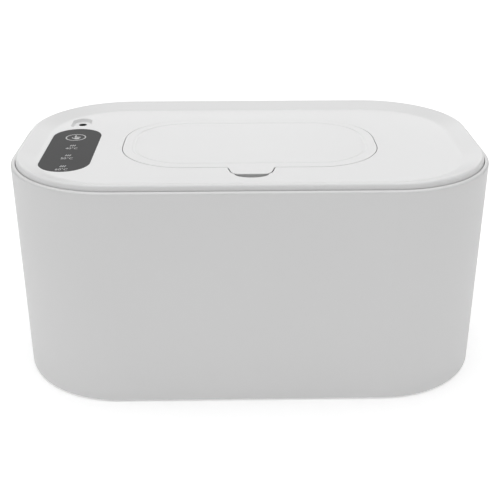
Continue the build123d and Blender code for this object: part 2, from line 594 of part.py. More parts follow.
def make_lid_shell():
    shell = lid_border() + slab(body_outline(FLAT_INSET), FLAT_UNDERSIDE, FLAT_TOP)
    notch_bottom = FLAT_TOP - NOTCH_DEPTH
    notch_casing = ahead_of_well(notch_outline(NOTCH_WALL), NOTCH_WALL)
    shell += slab(notch_casing, notch_bottom - NOTCH_WALL, FLAT_UNDERSIDE)
    shell += slab(tab_recess_outline(NOTCH_WALL), FLAT_TOP - TAB_RECESS_DEPTH - NOTCH_WALL, FLAT_UNDERSIDE)
    shell += slab(pocket_outline(POCKET_FLOOR), POCKET_UNDERSIDE, FLAT_UNDERSIDE)
    for x, y in LID_SCREWS:
        shell += post(x, y, SCREW_BOSS_RADIUS, TRAY_FLOOR_TOP, FLAT_UNDERSIDE)
        shell -= post(x, y, SCREW_RADIUS, TRAY_FLOOR_TOP, TRAY_FLOOR_BOTTOM + LID_SCREW_LENGTH)
    above = FLAT_TOP + CREST_RISE
    shell -= slab(lid_opening(), FLAT_UNDERSIDE, above)
    shell -= slab(hatch_outline(-WELL_CLEARANCE), FLAT_UNDERSIDE, FLAT_TOP - LIP_THICKNESS)
    notch = slab(notch_outline(0), notch_bottom, above)
    notch = fillet(notch.faces().sort_by(Axis.Z)[0].edges(), NOTCH_FLOOR_RADIUS)
    shell -= notch & slab(ahead_of_well(body_outline(0), 0), notch_bottom, above)
    shell -= slab(tab_recess_outline(0), FLAT_TOP - TAB_RECESS_DEPTH, above)
    shell -= slab(panel_outline(PANEL_GAP), FLAT_TOP - PANEL_THICKNESS, above)
    for y in INDICATOR_ROWS:
        shell -= post(INDICATOR_X, y, GUIDE_RADIUS + GUIDE_HOLE_CLEARANCE, FLAT_UNDERSIDE, FLAT_TOP)
    shell -= loft([Pos(0, 0, POCKET_FLOOR_TOP) * pocket_outline(-POCKET_SLOPE),
                   Pos(0, 0, FLAT_TOP) * pocket_outline(0)], ruled=True)
    shell -= post(JACK_X, JACK_Y, JACK_COLLAR_RADIUS + JACK_COLLAR_CLEARANCE,
                  POCKET_UNDERSIDE, POCKET_FLOOR_TOP)
    return shell


def make_lid_tray():
    tray = slab(body_outline(TRAY_INSET), TRAY_FLOOR_BOTTOM, TRAY_FLOOR_TOP)
    tray += slab(body_outline(TRAY_INSET) - body_outline(TRAY_BORE_INSET), TRAY_FLOOR_TOP, TRAY_FLANGE_TOP)
    tray += slab(body_outline(LID_BORE_INSET + FIT) - body_outline(TRAY_BORE_INSET),
                 TRAY_FLANGE_BOTTOM, TRAY_FLANGE_TOP)
    tray += slab(heater_outline(-FIT - HEATER_RIB) - heater_outline(-FIT), HEATER_FACE, TRAY_FLOOR_BOTTOM)
    tray -= slab(window_outline(NECK_WALL + FIT), TRAY_FLOOR_BOTTOM, TRAY_FLOOR_TOP)
    for x, y in BOARD_SCREWS:
        tray += post(x, y, STANDOFF_RADIUS, TRAY_FLOOR_TOP, BOARD_BOTTOM)
        tray -= post(x, y, BOARD_SCREW_RADIUS, BOARD_BOTTOM - BOARD_SCREW_DEPTH, BOARD_BOTTOM)
    for x, y in LID_SCREWS:
        tray -= countersunk_hole(x, y, TRAY_FLOOR_BOTTOM, TRAY_FLOOR_TOP)
    tray -= block(TAIL_X, 0, TAIL_THICKNESS + 2 * TAIL_CLEARANCE, TAIL_WIDTH + 2 * TAIL_CLEARANCE,
                  TRAY_FLOOR_BOTTOM, TRAY_FLOOR_TOP)
    tray -= block(THERMISTOR_X, THERMISTOR_Y, THERMISTOR_LENGTH + 2 * SENSOR_CLEARANCE,
                  2 * (THERMISTOR_RADIUS + SENSOR_CLEARANCE), TRAY_FLOOR_BOTTOM, TRAY_FLOOR_TOP)
    tray -= block(FUSE_X, FUSE_Y, 2 * (FUSE_RADIUS + SENSOR_CLEARANCE), FUSE_LENGTH + 2 * SENSOR_CLEARANCE,
                  TRAY_FLOOR_BOTTOM, TRAY_FLOOR_TOP)
    return tray


def make_lid_screws():
    return [countersunk_screw(x, y, TRAY_FLOOR_BOTTOM, LID_SCREW_LENGTH) for x, y in LID_SCREWS]


def make_lid_gasket():
    inner = LINER_BORE_INSET - FIT
    return slab(body_outline(inner - GASKET_WIDTH) - body_outline(inner), FLANGE_TOP, TRAY_FLANGE_BOTTOM)


# ---------------------------------------------------------------- outlet

def hinge_pocket(x, margin):
    """The room round one hinge arm, from the well's wall back past the hinge axis."""
    half_width = ARM_WIDTH / 2 + HINGE_POCKET_CLEARANCE + margin
    front = HATCH_DEPTH / 2 + WELL_CLEARANCE - FIT
    rear = HINGE_Y + ARM_LEG_OFFSET + ARM_THICKNESS + HINGE_POCKET_CLEARANCE + margin
    return block(x, (front + rear) / 2, 2 * half_width, rear - front, TRAY_FLOOR_TOP, FLAT_UNDERSIDE)


def hinge_rod(x, radius, length):
    """A cylinder lying along the hinge axis."""
    return Pos(x, HINGE_Y, HINGE_Z) * Rot(0, 90, 0) * Cylinder(radius, length)


def make_outlet_frame():
    frame = slab(hatch_outline(-WELL_CLEARANCE - WELL_WALL), TRAY_FLOOR_TOP, FLAT_UNDERSIDE)
    for x in (-HINGE_X, HINGE_X):
        frame += hinge_pocket(x, HINGE_POCKET_WALL)
    frame -= slab(hatch_outline(-WELL_CLEARANCE), WELL_FLOOR_TOP, FLAT_TOP)
    for x in (-HINGE_X, HINGE_X):
        frame -= hinge_pocket(x, 0)
        frame -= hinge_rod(x, PIN_RADIUS, PIN_LENGTH)
    frame += slab(window_outline(COLLAR_LEDGE + COLLAR_WALL) - window_outline(COLLAR_LEDGE),
                  WELL_FLOOR_TOP, COLLAR_TOP)
    frame += slab(window_outline(NECK_WALL), HEATER_FACE, TRAY_FLOOR_TOP)
    return frame - slab(window_outline(0), HEATER_FACE, WELL_FLOOR_TOP)


def make_hinge_pins():
    return [hinge_rod(x, PIN_RADIUS, PIN_LENGTH) for x in (-HINGE_X, HINGE_X)]


def make_wipe_outlet():
    sheet = slab(window_outline(COLLAR_LEDGE - FIT), WELL_FLOOR_TOP, WELL_FLOOR_TOP + OUTLET_THICKNESS)
    return sheet - slab(SlotOverall(OUTLET_SLOT_LENGTH, OUTLET_SLOT_WIDTH),
                        WELL_FLOOR_TOP, WELL_FLOOR_TOP + OUTLET_THICKNESS)


# ---------------------------------------------------------------- heater

def make_heating_plate():
    return slab(heater_outline(0) - window_outline(NECK_WALL + FIT), HEATER_FACE, HEATER_TOP)


def make_heater_film():
    film = slab(heater_outline(FILM_MARGIN) - window_outline(NECK_WALL + FIT + FILM_MARGIN),
                HEATER_TOP, TRAY_FLOOR_BOTTOM)
    tail_top = TRAY_FLOOR_TOP + TAIL_RISE
    film += block(TAIL_X, 0, TAIL_THICKNESS, TAIL_WIDTH, HEATER_TOP, tail_top)
    film += Pos(TAIL_END, 0, tail_top - TAIL_THICKNESS) * Box(
        TAIL_REACH, TAIL_WIDTH, TAIL_THICKNESS, align=(Align.MIN, Align.CENTER, Align.MIN))
    return film


def make_thermistor():
    bead = Rot(0, 90, 0) * Cylinder(THERMISTOR_RADIUS, THERMISTOR_LENGTH)
    bead = fillet(bead.edges().filter_by(GeomType.CIRCLE), THERMISTOR_RADIUS * 0.6)
    return Pos(THERMISTOR_X, THERMISTOR_Y, TRAY_FLOOR_BOTTOM + THERMISTOR_RADIUS) * bead


def make_thermal_fuse():
    can = Rot(90, 0, 0) * Cylinder(FUSE_RADIUS, FUSE_LENGTH)
    can = fillet(can.edges().filter_by(GeomType.CIRCLE), FUSE_RADIUS * 0.3)
    return Pos(FUSE_X, FUSE_Y, TRAY_FLOOR_BOTTOM + FUSE_RADIUS) * can


# ---------------------------------------------------------------- controls

def make_control_board():
    width = BOARD_RIGHT - BOARD_LEFT
    depth = BOARD_BACK - BOARD_FRONT
    outline = Pos((BOARD_LEFT + BOARD_RIGHT) / 2, (BOARD_FRONT + BOARD_BACK) / 2) * RectangleRounded(
        width, depth, BOARD_CORNER)
    board = slab(outline, BOARD_BOTTOM, BOARD_TOP)
    for x, y in BOARD_SCREWS:
        board -= post(x, y, BOARD_SCREW_RADIUS, BOARD_BOTTOM, BOARD_TOP)
    return board


def make_board_screws():
    screws = []
    for x, y in BOARD_SCREWS:
        shank = post(x, y, BOARD_SCREW_RADIUS, BOARD_BOTTOM - BOARD_SCREW_DEPTH, BOARD_TOP)
        head = post(x, y, BOARD_SCREW_HEAD_RADIUS, BOARD_TOP, BOARD_TOP + BOARD_SCREW_HEAD_HEIGHT)
        screws.append(shank + fillet(head.edges().group_by(Axis.Z)[-1], BOARD_SCREW_HEAD_HEIGHT * 0.5))
    return screws


def make_heater_connector():
    return block(TAIL_END - CONNECTOR_WIDTH / 2, 0, CONNECTOR_WIDTH, CONNECTOR_LENGTH,
                 BOARD_TOP, BOARD_TOP + CONNECTOR_HEIGHT)


def make_controller_chip():
    return block(PARTS_X, CHIP_Y, CHIP_SIZE, CHIP_SIZE, BOARD_TOP, BOARD_TOP + CHIP_HEIGHT)


def make_capacitor():
    can = post(PARTS_X, CAPACITOR_Y, CAPACITOR_RADIUS, BOARD_TOP, BOARD_TOP + CAPACITOR_HEIGHT)
    return fillet(can.edges().group_by(Axis.Z)[-1], CAPACITOR_RADIUS * 0.2)


def make_indicator_leds():
    return [block(INDICATOR_X, y, LED_LENGTH, LED_WIDTH, BOARD_TOP, BOARD_TOP + LED_HEIGHT)
            for y in INDICATOR_ROWS]


def make_light_guide():
    foot = BOARD_TOP + LED_HEIGHT + GUIDE_LED_GAP
    first, last = min(INDICATOR_ROWS), max(INDICATOR_ROWS)
    bar_bottom = (foot + FLAT_UNDERSIDE) / 2
    guide = block(INDICATOR_X, (first + last) / 2, GUIDE_BAR_WIDTH, last - first,
                  bar_bottom, bar_bottom + GUIDE_BAR_HEIGHT)
    for y in INDICATOR_ROWS:
        guide += post(INDICATOR_X, y, GUIDE_RADIUS, foot, FLAT_TOP - PANEL_THICKNESS)
    return guide


def make_touch_spring():
    return coil(KEY_X, KEY_Y, TOUCH_SPRING_RADIUS, TOUCH_SPRING_WIRE, TOUCH_SPRING_TURNS,
                BOARD_TOP, FLAT_UNDERSIDE)


def make_control_panel():
    return slab(panel_outline(0), FLAT_TOP - PANEL_THICKNESS, FLAT_TOP)


# ---------------------------------------------------------------- power inlet

def make_power_jack():
    body = block(JACK_X, JACK_Y, JACK_SIZE, JACK_SIZE, BOARD_TOP, POCKET_UNDERSIDE)
    body += post(JACK_X, JACK_Y, JACK_COLLAR_RADIUS, POCKET_UNDERSIDE, POCKET_FLOOR_TOP)
    return body - post(JACK_X, JACK_Y, JACK_BORE_RADIUS, BOARD_TOP + JACK_FLOOR, POCKET_FLOOR_TOP)


def make_power_jack_pin():
    top = POCKET_FLOOR_TOP - JACK_PIN_DROP
    pin = post(JACK_X, JACK_Y, JACK_PIN_RADIUS, BOARD_TOP + JACK_FLOOR, top)
    return fillet(pin.edges().group_by(Axis.Z)[-1], JACK_PIN_RADIUS * 0.5)


# ---------------------------------------------------------------- hatch

def hinge_arm(x):
    """One hinge arm: a quarter curve below the lip, a leg up to the axis, and its barrel."""
    reach = ARM_OUTER_RADIUS + ARM_THICKNESS
    curve = Circle(ARM_OUTER_RADIUS) - Circle(ARM_INNER_RADIUS)
    below_hatch = Pos(-reach / 2, (HATCH_UNDERSIDE - HINGE_Z - reach) / 2) * Rectangle(
        reach + 2 * ARM_LEG_OFFSET, HATCH_UNDERSIDE - HINGE_Z + reach)
    leg = Pos(ARM_LEG_OFFSET, -ARM_OUTER_RADIUS) * Rectangle(
        ARM_THICKNESS, ARM_OUTER_RADIUS, align=(Align.MIN, Align.MIN))
    section = (curve & below_hatch) + leg + Circle(BARREL_RADIUS) - Circle(PIN_RADIUS + PIN_CLEARANCE)
    side_plane = Plane(origin=(x - ARM_WIDTH / 2, HINGE_Y, HINGE_Z), x_dir=(0, 1, 0), z_dir=(1, 0, 0))
    return extrude(side_plane * section, ARM_WIDTH)


def make_hatch_cover():
    top_outline = hatch_outline(0) + tab_outline(0)
    for side in (-1, 1):
        inner_corner = (side * TAB_ROOT_WIDTH / 2, -HATCH_DEPTH / 2, 0)
        top_outline = fillet(top_outline.vertices().sort_by_distance(inner_corner)[0], TAB_ROOT_RADIUS)
    cover = slab(top_outline, HATCH_UNDERSIDE, HATCH_TOP)
    cover = fillet(cover.faces().sort_by(Axis.Z)[-1].outer_wire().edges(), HATCH_EDGE)
    underside = cover.faces().sort_by(Axis.Z)[0]
    cover = chamfer(underside.outer_wire().edges(), HATCH_UNDERCUT, HATCH_PLATE - HATCH_EDGE - HATCH_LAND,
                    reference=underside)
    cover += slab(hatch_outline(HATCH_RIB_INSET) - hatch_outline(HATCH_RIB_INSET + HATCH_RIB_WALL),
                  HATCH_UNDERSIDE - HATCH_RIB_DEPTH, HATCH_UNDERSIDE)
    cover += slab(hatch_outline(INNER_COVER_INSET) - hatch_outline(INNER_COVER_INSET + INNER_COVER_RIB),
                  INNER_COVER_TOP, HATCH_UNDERSIDE)
    for x in (-HINGE_X, HINGE_X):
        cover += hinge_arm(x)
    groove_path = (Pos(0, 0, HATCH_TOP + GROOVE_RADIUS - GROOVE_DEPTH)
                   * hatch_outline(GROOVE_INSET)).face().outer_wire()
    groove_end = Plane(origin=groove_path @ 0, z_dir=groove_path % 0)
    return cover - sweep(groove_end * Circle(GROOVE_RADIUS), path=groove_path)


def make_hatch_inner_cover():
    return slab(hatch_outline(INNER_COVER_INSET), INNER_COVER_BOTTOM, INNER_COVER_TOP)


def make_hatch_seal():
    middle = COLLAR_LEDGE + COLLAR_WALL / 2
    return slab(window_outline(middle + SEAL_WIDTH / 2) - window_outline(middle - SEAL_WIDTH / 2),
                COLLAR_TOP, INNER_COVER_BOTTOM)


# ---------------------------------------------------------------- every node

PIECES = {
    "outer_shell": make_outer_shell,
    "inner_tub": make_inner_tub,
    "insulation_wrap": make_insulation_wrap,
    "base_plate": make_base_plate,
    "base_screws": make_base_screws,
    "feet": make_feet,
    "lift_plate": make_lift_plate,
    "lift_springs": make_lift_springs,
    "lid_shell": make_lid_shell,
    "lid_tray": make_lid_tray,
    "lid_screws": make_lid_screws,
    "lid_gasket": make_lid_gasket,
    "outlet_frame": make_outlet_frame,
    "hinge_pins": make_hinge_pins,
    "wipe_outlet": make_wipe_outlet,
    "heating_plate": make_heating_plate,
    "heater_film": make_heater_film,
    "thermistor": make_thermistor,
    "thermal_fuse": make_thermal_fuse,
    "control_board": make_control_board,
    "board_screws": make_board_screws,
    "heater_connector": make_heater_connector,
    "controller_chip": make_controller_chip,
    "capacitor": make_capacitor,
    "indicator_leds": make_indicator_leds,
    "light_guide": make_light_guide,
    "touch_spring": make_touch_spring,
    "control_panel": make_control_panel,
    "power_jack": make_power_jack,
    "power_jack_pin": make_power_jack_pin,
    "hatch_cover": make_hatch_cover,
    "hatch_inner_cover": make_hatch_inner_cover,
    "hatch_seal": make_hatch_seal,
}

os.makedirs("parts", exist_ok=True)
for name, make in PIECES.items():
    made = make()
    solids = made if isinstance(made, list) else [made]
    node = Compound(label=name, children=solids) if len(solids) > 1 else solids[0]
    export_step(node, f"parts/{name}.step")
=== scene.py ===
import math

import bmesh
import bpy
from mathutils import Matrix, Vector


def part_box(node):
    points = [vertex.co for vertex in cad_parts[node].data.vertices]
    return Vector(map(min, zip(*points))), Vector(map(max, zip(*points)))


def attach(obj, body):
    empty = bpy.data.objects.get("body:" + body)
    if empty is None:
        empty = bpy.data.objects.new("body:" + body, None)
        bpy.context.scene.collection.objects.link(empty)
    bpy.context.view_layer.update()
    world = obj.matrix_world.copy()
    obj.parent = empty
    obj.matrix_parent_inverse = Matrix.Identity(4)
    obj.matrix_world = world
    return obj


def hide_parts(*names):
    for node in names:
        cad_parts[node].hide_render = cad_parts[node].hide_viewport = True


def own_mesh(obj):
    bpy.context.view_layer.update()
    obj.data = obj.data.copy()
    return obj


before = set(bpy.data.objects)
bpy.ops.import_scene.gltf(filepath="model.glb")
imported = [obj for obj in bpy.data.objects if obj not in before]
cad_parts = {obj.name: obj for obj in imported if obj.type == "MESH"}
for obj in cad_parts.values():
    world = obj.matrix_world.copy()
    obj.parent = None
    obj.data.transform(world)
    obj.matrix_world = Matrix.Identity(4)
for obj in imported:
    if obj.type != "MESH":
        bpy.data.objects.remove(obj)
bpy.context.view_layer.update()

# A baby wipe warmer: a rounded white tub with a lift-off heated lid. Metres, front towards -Y.
MM = 0.001


# ---------------------------------------------------------------- camera
# A plain camera on a stand in front of the warmer, a little to the left of its middle, looking
# down on the lid at about 25 degrees.

CAMERA_PLACE = (-9.3 * MM, -459.9 * MM, 268.2 * MM)
CAMERA_TILT = math.radians(64.78)
CAMERA_TURN = math.radians(-1.18)
CAMERA_LENS = 64.4
SENSOR_WIDTH = 36
NEAREST_SEEN = 10 * MM

camera = bpy.data.objects.new("camera", bpy.data.cameras.new("camera"))
camera.location = CAMERA_PLACE
camera.rotation_euler = (CAMERA_TILT, 0, CAMERA_TURN)
camera.data.lens = CAMERA_LENS
camera.data.sensor_width = SENSOR_WIDTH
camera.data.clip_start = NEAREST_SEEN
bpy.context.scene.collection.objects.link(camera)
bpy.context.scene.camera = camera
bpy.context.scene.view_settings.view_transform = "Standard"


# ---------------------------------------------------------------- feet
# Four round silicone feet pressed into recesses under the base. They are moulded soft and matt,
# and the faces they stand on are rubbed paler and smoother by the table.

FOOT_GREY = (0.150, 0.150, 0.155, 1)
FOOT_RUBBED = (0.235, 0.235, 0.235, 1)
FOOT_RUB_HEIGHT = 0.3 * MM


class Reading:
    """One output of a shader node. Arithmetic on it adds Math nodes."""

    def __init__(self, finish, socket):
        self.finish = finish
        self.socket = socket

    def maths(self, operation, first, second=0.0):
        return self.finish.node("ShaderNodeMath", {"operation": operation}, {0: first, 1: second})

    def __add__(self, other):
        return self.maths("ADD", self, other)

    def __radd__(self, other):
        return self.maths("ADD", other, self)

    def __sub__(self, other):
        return self.maths("SUBTRACT", self, other)

    def __rsub__(self, other):
        return self.maths("SUBTRACT", other, self)

    def __mul__(self, other):
        return self.maths("MULTIPLY", self, other)

    def __rmul__(self, other):
        return self.maths("MULTIPLY", other, self)

    def __pow__(self, other):
        return self.maths("POWER", self, other)

    def __gt__(self, other):
        return self.maths("GREATER_THAN", self, other)

    def __lt__(self, other):
        return self.maths("LESS_THAN", self, other)

    def __abs__(self):
        return self.maths("ABSOLUTE", self)

    def ripple(self, length):
        """Waves from 0 to 1 along this reading, with the length of one wave in metres."""
        return self.maths("SINE", self * (2 * math.pi / length)) * 0.5 + 0.5


class Finish:
    """A material: its constants are set on the shader, and its readings are linked to it."""

    def __init__(self, name, **constants):
        self.material = bpy.data.materials.new(name)
        self.material.use_nodes = True
        self.tree = self.material.node_tree
        self.shader = self.tree.nodes["Principled BSDF"]
        self.wear(**constants)
        self.place = self.node("ShaderNodeTexCoord", {}, {}, "Object")

    def node(self, kind, settings, values, output=0):
        """Adds a node, makes its settings, then sets or links its sockets, and reads one output."""
        made = self.tree.nodes.new(kind)
        for name, value in settings.items():
            setattr(made, name, value)
        for name, value in values.items():
            self.feed(made.inputs[name], value)
        return Reading(self, made.outputs[output])

    def feed(self, socket, value):
        if isinstance(value, Reading):
            self.tree.links.new(value.socket, socket)
        else:
            socket.default_value = value

    def wear(self, **inputs):
        """Links or sets the shader's own inputs, with _ for the spaces in their names."""
        for words, value in inputs.items():
            self.feed(self.shader.inputs[words.replace("_", " ")], value)
        return self

    def axis(self, letter):
        """The object's own X, Y or Z, in metres."""
        return self.node("ShaderNodeSeparateXYZ", {}, {0: self.place}, letter)

    def stretched(self, x, y, z):
        """The object's place with each axis multiplied, so that noise on it is drawn out."""
        return self.node("ShaderNodeVectorMath", {"operation": "MULTIPLY"}, {0: self.place, 1: (x, y, z)})

    def noise(self, scale, detail=2.0, place=None):
        """Cloudy noise from 0 to 1, with scale in features to the metre."""
        return self.node("ShaderNodeTexNoise", {},
                         {"Vector": place or self.place, "Scale": scale, "Detail": detail}, "Fac")

    def rise(self, reading, start, end):
        """0 where a reading is at or before start, 1 from end on, and a straight run between."""
        return self.node("ShaderNodeMapRange", {}, {"Value": reading, "From Min": start, "From Max": end})

    def blend(self, factor, first, second):
        """A colour between two colours."""
        return self.node("ShaderNodeMix", {"data_type": "RGBA"}, {"Factor": factor, 6: first, 7: second}, 2)

    def bump(self, height, depth):
        """Makes a height into the shader's normal, at half strength. Depth is in metres."""
        return self.wear(Normal=self.node("ShaderNodeBump", {},
                                          {"Height": height, "Strength": 0.5, "Distance": depth}))

    def paint(self, *nodes):
        """Gives the material to the frame's own pieces."""
        for name in nodes:
            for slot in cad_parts[name].material_slots:
                slot.material = self.material
        return self


foot_silicone = Finish("foot silicone", Sheen_Weight=0.15)
rubbing = foot_silicone.rise(foot_silicone.axis("Z"), FOOT_RUB_HEIGHT, 0.0) * foot_silicone.noise(600.0)
foot_grain = foot_silicone.noise(2500.0, 3.0)
foot_silicone.wear(Base_Color=foot_silicone.blend(rubbing, FOOT_GREY, FOOT_RUBBED),
                   Roughness=0.68 + (foot_grain - 0.5) * 0.15 - rubbing * 0.12)
foot_silicone.bump(foot_grain, 0.04 * MM).paint("feet")


# ---------------------------------------------------------------- base plate
# The flat white plate that closes the tub from below, injection-moulded in polypropylene like
# the liner. Sliding on tables leaves its underside with faint crossing scuffs.

INNER_WHITE = (0.745, 0.745, 0.740, 1)
INNER_SHADE = (0.725, 0.725, 0.722, 1)
SCUFF_GREY = (0.65, 0.65, 0.645, 1)
SCUFF_REACH = 0.1 * MM


def moulded(name, colour, shade, grain_depth, **constants):
    """Moulded plastic: a faint drift of colour, and the fine grain that the mould leaves."""
    plastic = Finish(name, **constants)
    drift = plastic.noise(14.0)
    grain = plastic.noise(3500.0, 3.0)
    plastic.colour = plastic.blend(drift, colour, shade)
    plastic.satin = (grain - 0.5) * 0.10 + (drift - 0.5) * 0.05
    return plastic.wear(Base_Color=plastic.colour).bump(grain, grain_depth)


base_plastic = moulded("base plastic", INNER_WHITE, INNER_SHADE, 0.03 * MM)
lengthways = base_plastic.noise(300.0, 3.0, base_plastic.stretched(0.06, 1.0, 1.0)) > 0.63
crossways = base_plastic.noise(260.0, 3.0, base_plastic.stretched(1.0, 0.08, 1.0)) > 0.65
underside = base_plastic.axis("Z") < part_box("base_plate")[0].z + SCUFF_REACH
scuffs = (lengthways + crossways) * underside
base_plastic.wear(Base_Color=base_plastic.blend(scuffs * 0.5, base_plastic.colour, SCUFF_GREY),
                  Roughness=0.48 + base_plastic.satin)
base_plastic.paint("base_plate")


# ---------------------------------------------------------------- base screws
# Four zinc-plated countersunk screws, driven up into the liner's bosses, that draw the base up
# against the shell. Their heads were turned, which leaves fine rings, and the passivation gives
# the zinc a faint straw tint.

ZINC = (0.60, 0.60, 0.61, 1)
ZINC_STRAW = (0.62, 0.59, 0.52, 1)
SCREW_HEAD_RADIUS = 2.8 * MM
TURNING_PITCH = 0.25 * MM


def plated(name):
    """Zinc-plated steel, with clouds of passivation and very fine pitting."""
    steel = Finish(name, Metallic=1.0)
    clouds = steel.noise(350.0)
    steel.pitting = steel.noise(9000.0, 3.0)
    return steel.wear(Base_Color=steel.blend(clouds * 0.7, ZINC, ZINC_STRAW),
                      Roughness=0.30 + (clouds - 0.5) * 0.12 + (steel.pitting - 0.5) * 0.10)


turned_zinc = plated("turned zinc")
sideways = abs(turned_zinc.axis("X")) - (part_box("base_screws")[1].x - SCREW_HEAD_RADIUS)
endways = abs(turned_zinc.axis("Y")) - (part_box("base_screws")[1].y - SCREW_HEAD_RADIUS)
from_middle = (sideways * sideways + endways * endways) ** 0.5
turned_zinc.bump(from_middle.ripple(TURNING_PITCH), 0.02 * MM).paint("base_screws")


# ---------------------------------------------------------------- outer shell
# The tub's straight outer wall, one deep moulding in white ABS. Its white is set a shade darker
# than the lid's, as painted shade on the walls. The mould was spark-eroded to a satin, which
# hands lifting the tub polish a little just below the rim.

SHELL_WHITE_PAINTED_SHADE = (0.715, 0.715, 0.715, 1)
SHELL_DRIFT_PAINTED_SHADE = (0.703, 0.703, 0.703, 1)
POLISHED_BAND = 25 * MM

shell_plastic = moulded("shell plastic", SHELL_WHITE_PAINTED_SHADE, SHELL_DRIFT_PAINTED_SHADE, 0.03 * MM)
shell_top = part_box("outer_shell")[1].z
handling = (shell_plastic.rise(shell_plastic.axis("Z"), shell_top - POLISHED_BAND, shell_top)
            * shell_plastic.noise(45.0))
shell_plastic.wear(Roughness=0.46 + shell_plastic.satin - handling * 0.08).paint("outer_shell")


# ---------------------------------------------------------------- insulation
# A grey band of closed-cell foam round the liner, cut from sheet and pushed in from below. It
# fills most of the gap behind the shell, and its cut cells give it a pebbled skin, whose pits
# are painted darker as shade.

FOAM_GREY = (0.30, 0.30, 0.30, 1)
FOAM_PIT_PAINTED_SHADE = (0.20, 0.20, 0.205, 1)
FOAM_CELLS = 900.0

foam = Finish("insulation foam", Roughness=0.92)
cell = foam.node("ShaderNodeTexVoronoi", {}, {"Vector": foam.place, "Scale": FOAM_CELLS}, "Distance")
# The pits of the cells are painted darker, as shade.
foam.wear(Base_Color=foam.blend(cell * foam.noise(120.0) * 1.6, FOAM_PIT_PAINTED_SHADE, FOAM_GREY))
foam.bump(cell, 0.25 * MM).paint("insulation_wrap")


# ---------------------------------------------------------------- liner
# The white tub that holds the wipes, hung inside the shell from its flange. It is moulded in
# polypropylene, whose flow from the middle of the floor leaves faint waxy streaks up the walls.

liner_plastic = moulded("liner plastic", INNER_WHITE, INNER_SHADE, 0.02 * MM, Subsurface_Weight=0.05)
flow = liner_plastic.noise(90.0, 3.0, liner_plastic.stretched(1.0, 1.0, 0.12))
liner_plastic.wear(Roughness=0.40 + liner_plastic.satin + (flow - 0.5) * 0.16).paint("inner_tub")


# ---------------------------------------------------------------- lift springs
# Four tall compression springs coiled from drawn stainless wire, which stand on the liner's floor
# and push the lift plate up; here they ride with the plate as one rigid coil. Drawing and coiling
# leave the wire with fine streaks and darker bands of heat tint.

SPRING_PLACES = [(x * MM, y * MM) for x in (-78.0, 78.0) for y in (-40.0, 40.0)]
SPRING_RADIUS = 9.0 * MM
SPRING_WIRE_RADIUS = 0.6 * MM
SPRING_TURNS = 9
STEPS_IN_A_TURN = 32
WIRE_SIDES = 12
WIRE_BRIGHT = (0.56, 0.56, 0.57, 1)
WIRE_DARK = (0.40, 0.39, 0.38, 1)


def drawn_wire(name):
    """Spring wire: bright, with streaks round each turn and a clouded heat tint."""
    wire = Finish(name, Metallic=1.0)
    tint = wire.noise(160.0)
    streaks = wire.noise(6000.0, 2.0, wire.stretched(0.1, 0.1, 1.0))
    wire.wear(Base_Color=wire.blend(tint * 0.8, WIRE_BRIGHT, WIRE_DARK),
              Roughness=0.24 + (streaks - 0.5) * 0.20)
    return wire.bump(streaks, 0.01 * MM)


def corners(parts):
    """The vertices among some parts of a mesh."""
    return [part for part in parts if isinstance(part, bmesh.types.BMVert)]


springs_foot, springs_head = (corner.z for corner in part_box("lift_springs"))
coil_rise = springs_head - springs_foot - 2 * SPRING_WIRE_RADIUS
coil_steps = SPRING_TURNS * STEPS_IN_A_TURN
coil_mesh = bmesh.new()
wire_end = bmesh.ops.create_circle(coil_mesh, segments=WIRE_SIDES, radius=SPRING_WIRE_RADIUS)["verts"]
bmesh.ops.rotate(coil_mesh, verts=wire_end, matrix=Matrix.Rotation(math.radians(90), 3, "X"))
bmesh.ops.translate(coil_mesh, verts=wire_end, vec=(SPRING_RADIUS, 0, springs_foot + SPRING_WIRE_RADIUS))
bmesh.ops.spin(coil_mesh, geom=wire_end + coil_mesh.edges[:], cent=(0, 0, 0), axis=(0, 0, 1),
               dvec=(0, 0, coil_rise / coil_steps), angle=SPRING_TURNS * math.radians(360),
               steps=coil_steps)
one_coil = coil_mesh.verts[:] + coil_mesh.edges[:] + coil_mesh.faces[:]
for x, y in SPRING_PLACES:
    copy = bmesh.ops.duplicate(coil_mesh, geom=one_coil)["geom"]
    bmesh.ops.translate(coil_mesh, verts=corners(copy), vec=(x, y, 0))
bmesh.ops.delete(coil_mesh, geom=corners(one_coil), context="VERTS")
for face in coil_mesh.faces:
    face.smooth = True
bmesh.ops.holes_fill(coil_mesh, edges=[edge for edge in coil_mesh.edges if edge.is_boundary])
bmesh.ops.recalc_face_normals(coil_mesh, faces=coil_mesh.faces)

lift_coils = bpy.data.objects.new("lift_coils", bpy.data.meshes.new("lift_coils"))
coil_mesh.to_mesh(lift_coils.data)
coil_mesh.free()
bpy.context.scene.collection.objects.link(lift_coils)
lift_coils.data.materials.append(drawn_wire("lift spring wire").material)
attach(lift_coils, "lift")
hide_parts("lift_springs")
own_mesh(lift_coils)


# ---------------------------------------------------------------- lift plate
# The slotted plate that the stack of wipes lies on, moulded in white polypropylene. The wipes
# slide on it as they are drawn out, which leaves its top smoother than its skirt.

WORN_DEPTH = 1.0 * MM

lift_plastic = moulded("lift plate plastic", INNER_WHITE, INNER_SHADE, 0.02 * MM)
plate_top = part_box("lift_plate")[1].z
worn = lift_plastic.rise(lift_plastic.axis("Z"), plate_top - WORN_DEPTH, plate_top)
lift_plastic.wear(Roughness=0.45 + lift_plastic.satin - worn * lift_plastic.noise(30.0) * 0.15)
lift_plastic.paint("lift_plate")


# ---------------------------------------------------------------- heating plate
# The aluminium sheet under the lid that warms the top of the stack. It was rolled, which leaves
# a grain along its length, and damp wipes leave it with pale dried marks.

ROLLED = (0.60, 0.61, 0.62, 1)
ROLLED_DULL = (0.50, 0.51, 0.52, 1)
DRIED = (0.72, 0.72, 0.71, 1)

